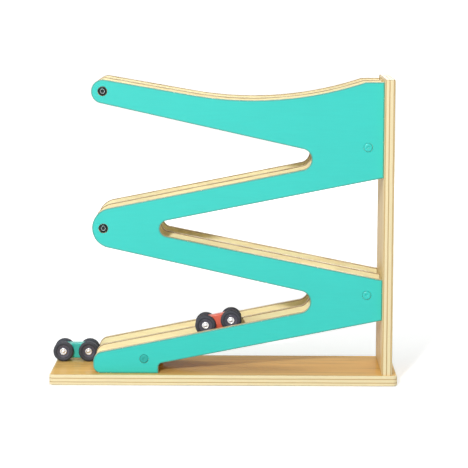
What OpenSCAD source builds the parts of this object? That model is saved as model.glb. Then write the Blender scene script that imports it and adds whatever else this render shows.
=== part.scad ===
// Click clack track: a zigzag marble-run style ramp for two toy cars.
// Three zigzag plywood panels stand on a base board and butt against an end post.
// The two lanes between them hold four ramps each; a car tips over at the end of
// every ramp and rolls down the next one the other way.
// X runs along the toy, Y from front to back, Z up. The origin is the middle of the
// underside of the base board.

/* [Base and post] */
// Length of the base board
base_l = 400; // [396:1:440]
// Depth of the base board, front to back
base_d = 120; // [118:1:150]
// Thickness of the base board
base_t = 12; // [10:0.5:16]
// Corner radius of the base board
base_corner_r = 6; // [3:0.5:12]
// How far the post stands back from the base's right end
post_inset = 6; // [4:0.5:12]
// Thickness of the post
post_t = 12; // [10:0.5:14]
// Height of the post above the base board
post_h = 339; // [336:1:360]
// How far the post stands back from the base's front and back edges
post_margin = 3; // [1:0.5:8]
// Corner radius at the top of the post
post_corner_r = 3.5; // [1:0.5:5]
// Rounding of the base board's and the post's edges
edge_r = 1.5; // [0.5:0.1:2]

/* [Panels and lanes] */
// Thickness of a zigzag panel
panel_t = 8; // [7.6:0.1:10]
// Rounding of a panel's edges
panel_edge_r = 0.8; // [0.4:0.1:1.5]
// How far the outer panels stand back from the base's front and back edges
panel_margin = 10.5; // [8:0.5:14]
// Left end of the top arm and of the foot, from the middle of the base
panel_left = 149.8; // [147:0.1:152]
// Height of the panels' flat top at the post, above the base board
panel_top = 335.5; // [334:0.5:337]
// Slope of the top edges of the three lower arms, in degrees
ramp_angle = 11.4; // [10.8:0.1:12]
// Slope of the lower edges of the two left-hand drop arms, in degrees
under_angle = 12.6; // [12.2:0.1:13]
// Slope of the lower edges of the two right-hand drop arms, in degrees
return_angle = 11.3; // [10.8:0.1:11.8]
// Slope of the top arm's upper edge at the left, in degrees
start_angle = 9.8; // [9:0.1:10.6]
// Slope of the top arm's upper edge at the right, in degrees
swoop_angle = 17.7; // [17.2:0.1:18.2]
// Radius of the swoop in the top arm's upper edge
swoop_r = 405; // [380:1:415]
// Length of the flat top beside the post
flat_l = 21; // [20:0.1:22]
// Radius where the swoop meets the flat top
flat_r = 8; // [6:0.5:9]

/* [Arm heights] */
// Height of the top arm's lower edge at mid length, above the base board
arm_1_low = 280; // [276:0.5:281]
// Upright depth of the top arm at its nose bolt
arm_1_depth = 27.4; // [25.6:0.1:28.6]
// Height of the second arm's upper edge at mid length, above the base board
arm_2_high = 217.6; // [215:0.1:220]
// Height of the second arm's lower edge at mid length, above the base board
arm_2_low = 190.4; // [188:0.1:192]
// Height of the third arm's upper edge at mid length, above the base board
arm_3_high = 146; // [144:0.1:148]
// Height of the third arm's lower edge at mid length, above the base board
arm_3_low = 116.6; // [114:0.1:119]
// Height of the fourth arm's upper edge at mid length, above the base board
arm_4_high = 53.3; // [51:0.1:55]
// Height of the fourth arm's lower edge at mid length, above the base board
arm_4_low = 26.2; // [24:0.1:28]
// Radius of the inner end of the first slot
slot_1_r = 12.2; // [11:0.1:13]
// Radius of the inner end of the second slot
slot_2_r = 9.3; // [8:0.1:10.5]
// Radius of the inner end of the third slot
slot_3_r = 12.9; // [11:0.1:13.5]
// Radius of the second nose, where the second and third arms meet
nose_2_r = 23; // [21:0.1:24]
// Radius of the top arm's nose
nose_1_r = 13; // [10:0.1:13.2]
// Length of the foot that stands on the base board
foot_l = 75; // [68:0.5:80]
// Radius of the foot's upper corner
foot_high_r = 12; // [6:0.5:12]
// Radius of the foot's lower corner
foot_low_r = 9; // [5:0.5:9]
// Radius where the foot runs into the fourth arm
foot_inner_r = 5; // [3:0.5:9]

/* [Ramps] */
// Thickness of a ramp strip
ramp_t = 6; // [5:0.1:8]
// How far a ramp's surface lies below the panels' edges
ramp_recess = 8; // [7:0.1:9]
// How far the top ramp's surface lies above the top arm's lower edge
ramp_1_rise = 17.5; // [16:0.1:19]
// Length of the gap that a car drops through at the end of a ramp
drop_gap = 52; // [50:0.5:58]
// Setback of the last ramp's end from the left end of the foot
exit_setback = 3.8; // [3:0.1:8]

/* [Fasteners] */
// Distance of the nose bolts from the middle of the base
nose_bolt_x = 137; // [135:0.5:138]
// Height of the upper nose bolt above the base board
nose_bolt_1_z = 324.7; // [323:0.1:326]
// Height of the lower nose bolt above the base board
nose_bolt_2_z = 168.3; // [166:0.1:171]
// Radius of the wooden spacer round a nose bolt
spacer_r = 7; // [6:0.1:7.5]
// Shank radius of a nose bolt
nose_bolt_r = 3; // [2.5:0.1:3.2]
// Head radius of a nose bolt and of its cap nut
nose_head_r = 5.2; // [4.8:0.1:5.6]
// Thickness of a nose bolt's head
nose_head_t = 2.2; // [1.6:0.1:2.6]
// Barrel radius of a cap nut
cap_nut_r = 4; // [3.8:0.1:4.2]
// Shank radius of the bolts that go into the barrel nuts
bolt_r = 2; // [1.6:0.1:2.2]
// Head radius of those bolts
bolt_head_r = 3.9; // [3.6:0.1:4.4]
// Thickness of their heads
bolt_head_t = 2.4; // [2:0.1:3]
// Radius of a barrel nut
barrel_r = 5; // [4.5:0.1:5.3]
// Distance from the post to the middle of the panels' barrel nuts
barrel_inset = 17.8; // [15:0.1:20]
// Height of the upper barrel nuts at the post, above the base board
post_bolt_1_z = 261.7; // [250:0.1:275]
// Height of the lower barrel nuts at the post, above the base board
post_bolt_2_z = 92; // [86:0.1:96]
// Distance of the foot's barrel nuts from the middle of the base
foot_bolt_x = 91.2; // [86:0.1:100]
// Height of the foot's barrel nuts above the base board
foot_bolt_z = 17.1; // [15:0.1:18]
// How deep the bolt heads sit below the wood
head_sink = 0.6; // [0.3:0.1:1]
// Thickness of the caps that cover the outer panels' barrel nuts
plug_t = 1.4; // [1:0.1:2]
// Radius of the dimple in the middle of a cap
plug_dimple_r = 1.5; // [1:0.1:2]
// How far a cap stands proud of the panel
plug_proud = 0.3; // [0.1:0.1:0.5]
// Length of the screws that hold the post, past the base board
screw_reach = 28; // [20:1:36]
// Spacing of the screws that hold the post
screw_pitch = 36; // [30:1:40]
// Socket size across flats of the nose bolts
nose_socket = 4; // [3:0.5:5]
// Socket size across flats of the other bolts
bolt_socket = 2.5; // [2:0.5:3]
// Clearance round every shank, head and nut in its hole
hole_clear = 0.2; // [0.1:0.05:0.3]

/* [Cars] */
// Radius of a wheel over its tyre
wheel_r = 12; // [11.5:0.1:12.2]
// Width of a wheel
wheel_w = 7; // [6:0.1:8]
// Distance between a car's two axles
wheelbase = 30; // [28:0.5:34]
// Half height of a car's body
car_body_r = 9; // [8:0.1:10]
// Width of a car's body
car_body_w = 11; // [9:0.1:13]
// Gap between a car's body and each wheel
wheel_gap = 0.5; // [0.3:0.1:0.8]
// Radius of an axle
axle_r = 1.5; // [1.2:0.1:2]
// Running clearance of an axle in the body
axle_clear = 0.06; // [0.03:0.01:0.1]
// Radius of the seat of a tyre on its rim
rim_r = 7.5; // [6.5:0.1:8.5]
// Radius of a domed hub cap
hub_cap_r = 4.2; // [3.6:0.1:4.8]
// Depth of the dish in a wheel's outer face
dish_t = 1.6; // [1:0.1:2]
// Gap under a wheel at rest
wheel_lift = 0.3; // [0.2:0.05:0.5]
// Where the red car stands on the last ramp, from the middle of the base
red_car_x = -6; // [-60:1:60]
// Where the teal car stands on the base board, from the middle of the base
teal_car_x = -175.5; // [-178:0.1:-175]
// Sideways place of the teal car, from the middle of the base
teal_car_y = 28; // [26:0.1:28]

/* [Hidden] */

$fn = 64;
arc_step = 9;      // largest turn between two points of an outline's arc, in degrees
arc_chord = 12;    // longest straight piece of a large arc
seam = 0.02;       // overlap that joins solids of one piece
press = 0.01;      // radial room of a pressed joint

ply_light = [0.93, 0.85, 0.66];
ply_dark = [0.86, 0.75, 0.53];
teal = [0.27, 0.85, 0.80];
teal_dark = [0.12, 0.75, 0.70];
car_red = [0.92, 0.33, 0.24];
car_teal = [0.36, 0.86, 0.80];
steel = [0.66, 0.67, 0.68];
black_steel = [0.16, 0.19, 0.19];
rubber = [0.17, 0.17, 0.19];
plastic = [0.23, 0.23, 0.26];

post_x = base_l / 2 - post_inset - post_t;
lane_w = base_d / 2 - panel_margin - 1.5 * panel_t;
lane_pitch = lane_w + panel_t;
panel_y = [-lane_pitch, 0, lane_pitch];
lane_y = [-lane_pitch / 2, lane_pitch / 2];
track_half = lane_pitch + panel_t / 2;
post_w = base_d - 2 * post_margin;

// An edge is [height at mid length, slope in degrees]; z_on gives its height at x,
// lowered moves it square to itself, and meet is where two edges cross.
function z_on(e, x) = e[0] + x * tan(e[1]);
function lowered(e, d) = [e[0] - d / cos(e[1]), e[1]];
function meet_x(e, f) = (f[0] - e[0]) / (tan(e[1]) - tan(f[1]));
function meet(e, f) = [meet_x(e, f), z_on(e, meet_x(e, f))];

arm_1_under = [base_t + arm_1_low, -under_angle];
arm_2_over = [base_t + arm_2_high, ramp_angle];
arm_2_under = [base_t + arm_2_low, return_angle];
arm_3_over = [base_t + arm_3_high, -ramp_angle];
arm_3_under = [base_t + arm_3_low, -under_angle];
arm_4_over = [base_t + arm_4_high, ramp_angle];
arm_4_under = [base_t + arm_4_low, return_angle];
// The top arm's upper edge: a straight start, then the swoop up to the flat top.
start_z = z_on(arm_1_under, -nose_bolt_x) + arm_1_depth;
arm_1_over = [start_z - nose_bolt_x * tan(start_angle), -start_angle];
flat_z = base_t + panel_top;
swoop_end = post_x - flat_l;
arm_1_rise = [flat_z - swoop_end * tan(swoop_angle), swoop_angle];
foot_right = foot_l - panel_left;
// The swoop's radius is limited by the length of the rise.
swoop_corner = meet(arm_1_over, arm_1_rise);
swoop_room = norm(swoop_corner - [swoop_end, flat_z]) - flat_r * tan(swoop_angle / 2);
swoop_arc_r = min(swoop_r, 0.98 * swoop_room / tan((start_angle + swoop_angle) / 2));

// Corners of the zigzag outline, each with the radius of its arc.
zigzag_corners = [
    [post_x, flat_z, 0],
    [swoop_end, flat_z, flat_r],
    concat(swoop_corner, swoop_arc_r),
    [-panel_left, z_on(arm_1_over, -panel_left), nose_1_r],
    [-panel_left, z_on(arm_1_under, -panel_left), nose_1_r],
    concat(meet(arm_1_under, arm_2_over), slot_1_r),
    concat(meet(arm_2_over, arm_3_under), nose_2_r),
    concat(meet(arm_3_under, arm_4_over), slot_3_r),
    [-panel_left, z_on(arm_4_over, -panel_left), foot_high_r],
    [-panel_left, base_t, foot_low_r],
    [foot_right, base_t, 0],
    [foot_right, z_on(arm_4_under, foot_right), foot_inner_r],
    [post_x, z_on(arm_4_under, post_x), 0],
    [post_x, z_on(arm_3_over, post_x), 0],
    concat(meet(arm_3_over, arm_2_under), slot_2_r),
    [post_x, z_on(arm_2_under, post_x), 0]
];

zigzag = outline(zigzag_corners);

base_corners = [
    for (c = [[1, 1], [-1, 1], [-1, -1], [1, -1]])
        [c[0] * base_l / 2, c[1] * base_d / 2, base_corner_r]
];

post_corners = [
    [post_w / 2, base_t + post_h, post_corner_r], [-post_w / 2, base_t + post_h, post_corner_r],
    [-post_w / 2, base_t, 0], [post_w / 2, base_t, 0]
];

// Points of a closed outline: an arc tangent to both sides of every corner.
function unit(v) = v / norm(v);
function arc_points(p, a, b, r) =
    let (
        half = acos(a * b) / 2,
        middle = p + unit(a + b) * r / sin(half),
        turn = 180 - 2 * half,
        steps = max(2, ceil(turn / arc_step), ceil(r * turn * PI / 180 / arc_chord)),
        side = cross([a[0], a[1]], [b[0], b[1]]) > 0 ? 1 : -1,
        from = p + a * r / tan(half) - middle
    )
    [
        for (i = [0:steps])
            let (w = -side * turn * i / steps)
            middle + [from[0] * cos(w) - from[1] * sin(w), from[0] * sin(w) + from[1] * cos(w)]
    ];
function outline(corners) =
    let (n = len(corners))
    [
        for (i = [0:n - 1])
            let (
                p = [corners[i][0], corners[i][1]],
                before = corners[(i + n - 1) % n],
                after = corners[(i + 1) % n],
                a = unit([before[0], before[1]] - p),
                b = unit([after[0], after[1]] - p)
            )
            each corners[i][2] > 0 ? arc_points(p, a, b, corners[i][2]) : [p]
    ];

// The outline drawn in by d along each point's own mitre.
function drawn_in(path, d) =
    let (n = len(path))
    [
        for (i = [0:n - 1])
            let (
                a = unit(path[i] - path[(i + n - 1) % n]),
                b = unit(path[(i + 1) % n] - path[i]),
                normal = unit([-a[1] - b[1], a[0] + b[0]])
            )
            path[i] + normal * d / max(0.5, normal * [-b[1], b[0]])
    ];

// A board cut to an outline, from height 0 to t, with both faces' edges rounded.
module rounded_board(path, t, r) difference() {
    linear_extrude(t) polygon(path);
    edge_cutter(path, r, 0, 1);
    edge_cutter(path, r, t, -1);
}

// The ring that is cut away to round the edge of a board's face with two bevels. The face
// lies at height h and the board runs from it towards side: 1 is up and -1 is down.
edge_past = 0.3;
module edge_cutter(path, r, h, side) {
    n = len(path);
    reach = r + edge_past / tan(22.5);
    bend = r * (1 - sin(45));
    section = [[reach, -edge_past], [bend, bend], [-edge_past, reach], [-edge_past, -edge_past]];
    points = [
        for (p = section)
            each [for (q = drawn_in(path, p[0])) [q[0], q[1], h + side * p[1]]]
    ];
    sides = [
        for (k = [0:3], i = [0:n - 1])
            let (j = (i + 1) % n, m = (k + 1) % 4, quad = [k * n + i, k * n + j, m * n + j, m * n + i])
            side > 0 ? quad : [for (v = [3:-1:0]) quad[v]]
    ];
    polyhedron(points, sides, convexity = 10);
}

// Stands a drawing made in X and Z upright, from y to y + t.
module upright(y, t) translate([0, y + t, 0]) rotate([90, 0, 0]) children();

// A cylinder along one axis, starting at a point.
module rod_x(p, r, l) translate(p) rotate([0, 90, 0]) cylinder(r = r, h = l);
module rod_y(p, r, l) translate(p) rotate([-90, 0, 0]) cylinder(r = r, h = l);
module rod_z(p, r, l) translate(p) cylinder(r = r, h = l);

// A socket head bolt along +Z: the head from 0 to head_t, the shank beyond it.
module socket_bolt(head_r, head_t, shank_r, reach, socket) {
    difference() {
        union() {
            cylinder(r = head_r, h = head_t);
            cylinder(r = shank_r, h = head_t + reach);
        }
        translate([0, 0, -1]) rotate([0, 0, 30])
            cylinder(r = socket / 2 / cos(30), h = 1 + head_t * 0.7, $fn = 6);
    }
}

barrel_x = post_x - barrel_inset;
barrel_places = [
    [barrel_x, base_t + post_bolt_1_z], [barrel_x, base_t + post_bolt_2_z],
    [-foot_bolt_x, base_t + foot_bolt_z]
];
post_bolt_z = [base_t + post_bolt_1_z, base_t + post_bolt_2_z];
foot_barrel_z = base_t + foot_bolt_z;
nose_bolts = [[-nose_bolt_x, base_t + nose_bolt_1_z], [-nose_bolt_x, base_t + nose_bolt_2_z]];
bolt_past_barrel = barrel_r - 1;
screw_x = post_x + post_t / 2;

module base_board() {
    color(ply_dark) difference() {
        rounded_board(outline(base_corners), base_t, edge_r);
        for (y = panel_y) {
            rod_z([-foot_bolt_x, y, -1], bolt_r + hole_clear, base_t + 2);
            rod_z([-foot_bolt_x, y, -1], bolt_head_r + hole_clear, 1 + bolt_head_t + head_sink);
        }
        for (k = [-1:1]) {
            rod_z([screw_x, k * screw_pitch, -1], bolt_r + hole_clear, base_t + 2);
            rod_z([screw_x, k * screw_pitch, -1], bolt_head_r + hole_clear,
                1 + bolt_head_t + head_sink);
        }
    }
}

module end_post() {
    color(ply_light) difference() {
        translate([post_x, 0, 0]) rotate([90, 0, 90])
            rounded_board(outline(post_corners), post_t, edge_r);
        for (y = panel_y, z = post_bolt_z) {
            rod_x([post_x - 1, y, z], bolt_r + hole_clear, post_t + 2);
            rod_x([post_x + post_t - bolt_head_t - head_sink, y, z], bolt_head_r + hole_clear,
                bolt_head_t + 2);
        }
        for (k = [-1:1])
            rod_z([screw_x, k * screw_pitch, base_t - 1], bolt_r + hole_clear,
                screw_reach + 2);
    }
}

// One zigzag panel with the holes for its nose bolts, bolts and barrel nuts.
module zigzag_panel(y, nose_bore) {
    difference() {
        upright(y - panel_t / 2, panel_t)
            rounded_board(zigzag, panel_t, panel_edge_r);
        for (p = nose_bolts)
            rod_y([p[0], y - panel_t, p[1]], nose_bore + hole_clear, 2 * panel_t);
        for (p = barrel_places)
            rod_y([p[0], y - panel_t, p[1]], barrel_r + hole_clear, 2 * panel_t);
        for (z = post_bolt_z)
            rod_x([barrel_x - bolt_past_barrel, y, z], bolt_r + hole_clear,
                barrel_inset + bolt_past_barrel + 1);
        rod_z([-foot_bolt_x, y, base_t - 1], bolt_r + hole_clear,
            foot_barrel_z - base_t + bolt_past_barrel + 1);
    }
}

module front_panel() {
    color(teal) difference() {
        zigzag_panel(panel_y[0], nose_bolt_r);
        for (p = nose_bolts)
            rod_y([p[0], -track_half - 1, p[1]], nose_head_r + 2 * hole_clear,
                1 + nose_head_t);
    }
}

module middle_panel() color(ply_light) zigzag_panel(panel_y[1], nose_bolt_r);

module back_panel() {
    color(teal) difference() {
        zigzag_panel(panel_y[2], cap_nut_r);
        for (p = nose_bolts)
            rod_y([p[0], track_half - nose_head_t, p[1]], nose_head_r + 2 * hole_clear,
                1 + nose_head_t);
    }
}

// Surfaces that the cars roll on.
floor_1 = lowered(arm_1_under, -ramp_1_rise);
floor_2 = lowered(arm_2_over, ramp_recess);
floor_3 = lowered(arm_3_over, ramp_recess);
floor_4 = lowered(arm_4_over, ramp_recess);
ramp_start = -nose_bolt_x + spacer_r + wheel_lift;
drop_right = post_x - drop_gap;
drop_left = ramp_start + drop_gap;

// A ramp strip under a floor, cut upright at one end and rounded where cars tip over.
ramp_tip_r = 0.49 * ramp_t;
module ramp_strip(lane, floor, cut_x, tip_x) {
    under = lowered(floor, ramp_t);
    along = [cos(floor[1]), sin(floor[1])];
    across = [-along[1], along[0]] * ramp_t / 2;
    tip = [tip_x, z_on(lowered(floor, ramp_t / 2), tip_x)];
    upright(lane_y[lane] - lane_w / 2, lane_w) linear_extrude(lane_w) polygon(outline([
        [cut_x, z_on(floor, cut_x), 0],
        concat(tip + across, ramp_tip_r),
        concat(tip - across, ramp_tip_r),
        [cut_x, z_on(under, cut_x), 0]
    ]));
}

module ramp(lane, level) {
    color(ply_light) {
        if (level == 1) ramp_strip(lane, floor_1, ramp_start, drop_right);
        if (level == 2) ramp_strip(lane, floor_2, post_x, drop_left);
        if (level == 3) ramp_strip(lane, floor_3, ramp_start, drop_right);
        if (level == 4) ramp_strip(lane, floor_4, post_x, exit_setback - panel_left);
    }
}

// The two wooden spacers that a nose bolt passes through, one in each lane.
module nose_spacers(p) {
    color(ply_dark) for (y = lane_y) difference() {
        rod_y([p[0], y - lane_w / 2, p[1]], spacer_r, lane_w);
        rod_y([p[0], y - lane_w / 2 - 1, p[1]], nose_bolt_r + hole_clear, lane_w + 2);
    }
}

// A nose bolt, its head flush in the front panel and its tip in the cap nut.
cap_nut_reach = panel_t - nose_head_t;
module nose_bolt(p) {
    color(black_steel) translate([p[0], -track_half, p[1]]) rotate([-90, 0, 0])
        socket_bolt(nose_head_r, nose_head_t, nose_bolt_r,
            2 * track_half - nose_head_t - panel_t + cap_nut_reach - 1, nose_socket);
}

module nose_cap_nuts() {
    color(black_steel) for (p = nose_bolts) difference() {
        union() {
            rod_y([p[0], track_half - nose_head_t, p[1]], nose_head_r, nose_head_t);
            rod_y([p[0], track_half - panel_t, p[1]], cap_nut_r, panel_t);
        }
        rod_y([p[0], track_half - panel_t - 1, p[1]], nose_bolt_r + press,
            1 + cap_nut_reach);
        translate([p[0], track_half - nose_head_t * 0.7, p[1]]) rotate([-90, 0, 0])
            cylinder(r = nose_socket / 2 / cos(30), h = nose_head_t, $fn = 6);
    }
}

module post_bolts() {
    head_x = post_x + post_t - head_sink;
    color(steel) for (y = panel_y, z = post_bolt_z)
        translate([head_x, y, z]) rotate([0, -90, 0])
            socket_bolt(bolt_head_r, bolt_head_t, bolt_r,
                head_x - bolt_head_t - barrel_x + bolt_past_barrel - 0.5, bolt_socket);
}

module foot_bolts() {
    color(steel) for (y = panel_y) translate([-foot_bolt_x, y, head_sink])
        socket_bolt(bolt_head_r, bolt_head_t, bolt_r,
            foot_barrel_z - bolt_head_t - head_sink + bolt_past_barrel - 0.5, bolt_socket);
}

// Barrel nuts lie across their panel; the outer panels leave room for the caps.
barrel_back = [plug_t, 0.4, 0.4];
barrel_l = panel_t - plug_t - 0.4;
module barrel_nut(p, i, along_x) {
    y = panel_y[i] - panel_t / 2 + barrel_back[i];
    color(steel) difference() {
        rod_y([p[0], y, p[1]], barrel_r, barrel_l);
        if (along_x) rod_x([p[0] - 2 * barrel_r, panel_y[i], p[1]], bolt_r + press,
            4 * barrel_r);
        else rod_z([p[0], panel_y[i], p[1] - 2 * barrel_r], bolt_r + press, 4 * barrel_r);
    }
}

module post_barrel_nuts()
    for (i = [0:2], k = [0:1]) barrel_nut(barrel_places[k], i, true);

module foot_barrel_nuts()
    for (i = [0:2]) barrel_nut(barrel_places[2], i, false);

// Round caps that cover the barrel nuts in an outer panel's outer face, which lies at y;
// side is -1 in front and 1 behind. Each has a dimple in the middle.
module plugs(y, side) {
    thick = plug_t + plug_proud - 0.1;
    dimple = thick / 2;
    color(teal_dark) for (p = barrel_places)
        translate([p[0], y + side * plug_proud, p[1]]) rotate([side * 90, 0, 0])
            difference() {
                cylinder(r = barrel_r, h = thick);
                translate([0, 0, -1]) cylinder(r = plug_dimple_r, h = 1 + dimple);
            }
}

module post_screws() {
    color(steel) for (k = [-1:1])
        translate([screw_x, k * screw_pitch, head_sink])
            socket_bolt(bolt_head_r, bolt_head_t, bolt_r,
                base_t + screw_reach - bolt_head_t - head_sink, bolt_socket);
}

// Cars are drawn about the middle between their axles, with X along the car.
car_half = car_body_w / 2 + wheel_gap + wheel_w;

module car_body(paint) {
    color(paint) difference() {
        translate([0, car_body_w / 2, 0]) rotate([90, 0, 0]) linear_extrude(car_body_w) {
            square([wheelbase, 2 * car_body_r], center = true);
            for (s = [-1, 1]) translate([s * wheelbase / 2, 0]) circle(r = car_body_r);
        }
        for (s = [-1, 1])
            rod_y([s * wheelbase / 2, -car_body_w, 0], axle_r + axle_clear, 2 * car_body_w);
    }
}

module axle(s) {
    color(steel) rod_y([s * wheelbase / 2, dish_t - car_half, 0], axle_r,
        2 * (car_half - dish_t));
}

// Places a wheel part, drawn as a profile of [radius, depth], at both ends of an axle:
// depth 0 is the wheel's outer face.
module wheel_pair(s)
    for (side = [-1, 1])
        translate([s * wheelbase / 2, side * car_half, 0]) rotate([side * 90, 0, 0])
            children();

// A rim: pressed on its axle, dished outside, with a bead at the tyre's seat.
module rim(s) {
    color(plastic) wheel_pair(s) rotate_extrude() polygon([
        [axle_r + press, dish_t + 0.4], [hub_cap_r + 0.6, dish_t + 0.4],
        [hub_cap_r + 1.2, dish_t], [rim_r - 0.9, 0.9],
        [rim_r - 0.5, 0.5], [rim_r, 0.7], [rim_r, wheel_w - 0.4],
        [rim_r - 0.6, wheel_w], [axle_r + press, wheel_w]
    ]);
}

// A tyre: round shoulders, a bulged side wall and two grooves round the tread.
tread_land = wheel_r - 0.5;
function shoulder(y0, side) = [
    for (i = [0:4])
        let (w = side > 0 ? 90 - i * 18 : i * 18)
        [wheel_r - 2 + 2 * cos(w), y0 + side * (2 - 2 * sin(w))]
];
module tyre(s) {
    color(rubber) wheel_pair(s) rotate_extrude() polygon(concat(
        [[rim_r + press, 0.7], [rim_r + 0.5, 0.3]],
        shoulder(0, 1),
        [
            [wheel_r, wheel_w * 0.38], [tread_land, wheel_w * 0.42],
            [tread_land, wheel_w * 0.46], [wheel_r, wheel_w * 0.5],
            [wheel_r, wheel_w * 0.55], [tread_land, wheel_w * 0.59],
            [tread_land, wheel_w * 0.63], [wheel_r, wheel_w * 0.67]
        ],
        shoulder(wheel_w, -1),
        [[rim_r + press, wheel_w]]
    ));
}

// A domed cap over each end of an axle.
module hub_cap(s) {
    dome = dish_t - 0.3;
    color(steel) wheel_pair(s) rotate_extrude() polygon(concat(
        [[0, dish_t], [0, dish_t - dome]],
        [for (i = [1:6]) let (w = i * 15)
            [hub_cap_r * sin(w), dish_t - dome * cos(w)]],
        [[hub_cap_r, dish_t + 0.4], [axle_r + press, dish_t + 0.4], [axle_r + press, dish_t]]
    ));
}

// The red car stands in the front lane on the last ramp, the teal one on the base.
module on_ramp()
    translate([red_car_x, lane_y[0],
        z_on(floor_4, red_car_x) + (wheel_r + wheel_lift) / cos(ramp_angle)])
        rotate([0, -ramp_angle, 0]) children();
module on_base()
    translate([teal_car_x, teal_car_y, base_t + wheel_r + wheel_lift]) children();

base_board();
end_post();
front_panel();
middle_panel();
back_panel();
ramp(0, 1);  // front_ramp_1
ramp(0, 2);  // front_ramp_2
ramp(0, 3);  // front_ramp_3
ramp(0, 4);  // front_ramp_4
ramp(1, 1);  // back_ramp_1
ramp(1, 2);  // back_ramp_2
ramp(1, 3);  // back_ramp_3
ramp(1, 4);  // back_ramp_4
nose_spacers(nose_bolts[0]);  // upper_nose_spacers
nose_spacers(nose_bolts[1]);  // lower_nose_spacers
nose_bolt(nose_bolts[0]);  // upper_nose_bolt
nose_bolt(nose_bolts[1]);  // lower_nose_bolt
nose_cap_nuts();
post_bolts();
post_barrel_nuts();
foot_bolts();
foot_barrel_nuts();
plugs(-track_half, -1);  // front_plugs
plugs(track_half, 1);  // back_plugs
post_screws();
on_ramp() car_body(car_red);  // red_car_body
on_ramp() axle(-1);  // red_car_left_axle
on_ramp() rim(-1);  // red_car_left_rims
on_ramp() tyre(-1);  // red_car_left_tyres
on_ramp() hub_cap(-1);  // red_car_left_caps
on_ramp() axle(1);  // red_car_right_axle
on_ramp() rim(1);  // red_car_right_rims
on_ramp() tyre(1);  // red_car_right_tyres
on_ramp() hub_cap(1);  // red_car_right_caps
on_base() car_body(car_teal);  // teal_car_body
on_base() axle(-1);  // teal_car_left_axle
on_base() rim(-1);  // teal_car_left_rims
on_base() tyre(-1);  // teal_car_left_tyres
on_base() hub_cap(-1);  // teal_car_left_caps
on_base() axle(1);  // teal_car_right_axle
on_base() rim(1);  // teal_car_right_rims
on_base() tyre(1);  // teal_car_right_tyres
on_base() hub_cap(1);  // teal_car_right_caps
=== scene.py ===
"""Click clack track: a two-lane zigzag plywood track with two small wheeled cars.

Sizes are in millimetres where a name ends in _mm, and in metres elsewhere. X runs along the
toy, Y from front to back and Z up; the origin is the middle of the base board's underside.
"""

import math

import bmesh
import bpy
import numpy as np
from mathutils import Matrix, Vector
from mathutils.geometry import delaunay_2d_cdt


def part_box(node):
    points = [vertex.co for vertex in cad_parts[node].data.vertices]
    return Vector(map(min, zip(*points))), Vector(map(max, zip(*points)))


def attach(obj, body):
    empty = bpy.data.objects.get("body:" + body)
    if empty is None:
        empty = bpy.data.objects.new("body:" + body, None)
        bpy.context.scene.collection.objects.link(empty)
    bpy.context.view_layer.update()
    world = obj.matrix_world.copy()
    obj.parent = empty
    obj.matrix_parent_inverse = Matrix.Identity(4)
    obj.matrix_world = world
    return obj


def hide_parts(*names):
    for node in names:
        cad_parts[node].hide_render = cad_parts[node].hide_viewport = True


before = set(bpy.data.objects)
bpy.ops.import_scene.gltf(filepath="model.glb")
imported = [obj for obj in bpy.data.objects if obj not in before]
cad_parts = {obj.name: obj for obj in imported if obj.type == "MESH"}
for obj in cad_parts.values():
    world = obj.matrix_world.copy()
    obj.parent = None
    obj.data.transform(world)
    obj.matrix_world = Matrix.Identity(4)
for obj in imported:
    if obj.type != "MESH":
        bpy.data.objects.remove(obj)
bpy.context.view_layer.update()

bl_info = {
    "name": "Click clack track",
    "version": (1, 0, 0),
    "blender": (4, 5, 0),
    "location": "3D View > Sidebar > Track",
    "description": "Dresses a two-lane click clack track: plywood panels, ramps, bolts and cars",
    "category": "Object",
}

MM = 0.001


# Settings, which the panel shows

class TrackSizes(bpy.types.PropertyGroup):
    """Sizes of the track's boards, in metres."""
    edge_round: bpy.props.FloatProperty(
        name="Edge rounding", description="Radius of the base board's and the post's edges",
        default=1.5 * MM, min=0.5 * MM, max=2 * MM, subtype="DISTANCE", unit="LENGTH")
    panel_round: bpy.props.FloatProperty(
        name="Panel edge rounding", description="Radius of a zigzag panel's rounded edge",
        default=0.8 * MM, min=0.4 * MM, max=1.5 * MM, subtype="DISTANCE", unit="LENGTH")
    # On the panels, painted shade also darkens the paint across this strip and the roll.
    wear_and_shade_rim: bpy.props.FloatProperty(
        name="Worn rim", description="Width of the strip along an edge where paint has worn",
        default=1.1 * MM, min=0.3 * MM, max=2 * MM, subtype="DISTANCE", unit="LENGTH")
    arc_step: bpy.props.FloatProperty(
        name="Arc step", description="Turn between two points of a rounded corner",
        default=math.radians(4.5), min=math.radians(2), max=math.radians(15),
        subtype="ANGLE", unit="ROTATION")


class TrackColours(bpy.types.PropertyGroup):
    """Colours of the boards and fasteners."""
    teal: bpy.props.FloatVectorProperty(
        name="Panel paint", description="Paint on the outer panels' faces",
        default=(0.020, 0.585, 0.510), size=3, min=0, max=1, subtype="COLOR")
    birch: bpy.props.FloatVectorProperty(
        name="Birch", description="Light veneer of the plywood",
        default=(0.92, 0.79, 0.48), size=3, min=0, max=1, subtype="COLOR")
    glue: bpy.props.FloatVectorProperty(
        name="Cross plies", description="Darker cross plies and glue lines at the edges",
        default=(0.50, 0.30, 0.10), size=3, min=0, max=1, subtype="COLOR")
    lacquer: bpy.props.FloatVectorProperty(
        name="Lacquered birch", description="The base board's veneer under its lacquer",
        default=(0.93, 0.60, 0.20), size=3, min=0, max=1, subtype="COLOR")
    blackened: bpy.props.FloatVectorProperty(
        name="Blackened steel", description="The nose bolts' oxide finish",
        default=(0.018, 0.030, 0.030), size=3, min=0, max=1, subtype="COLOR")


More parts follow.
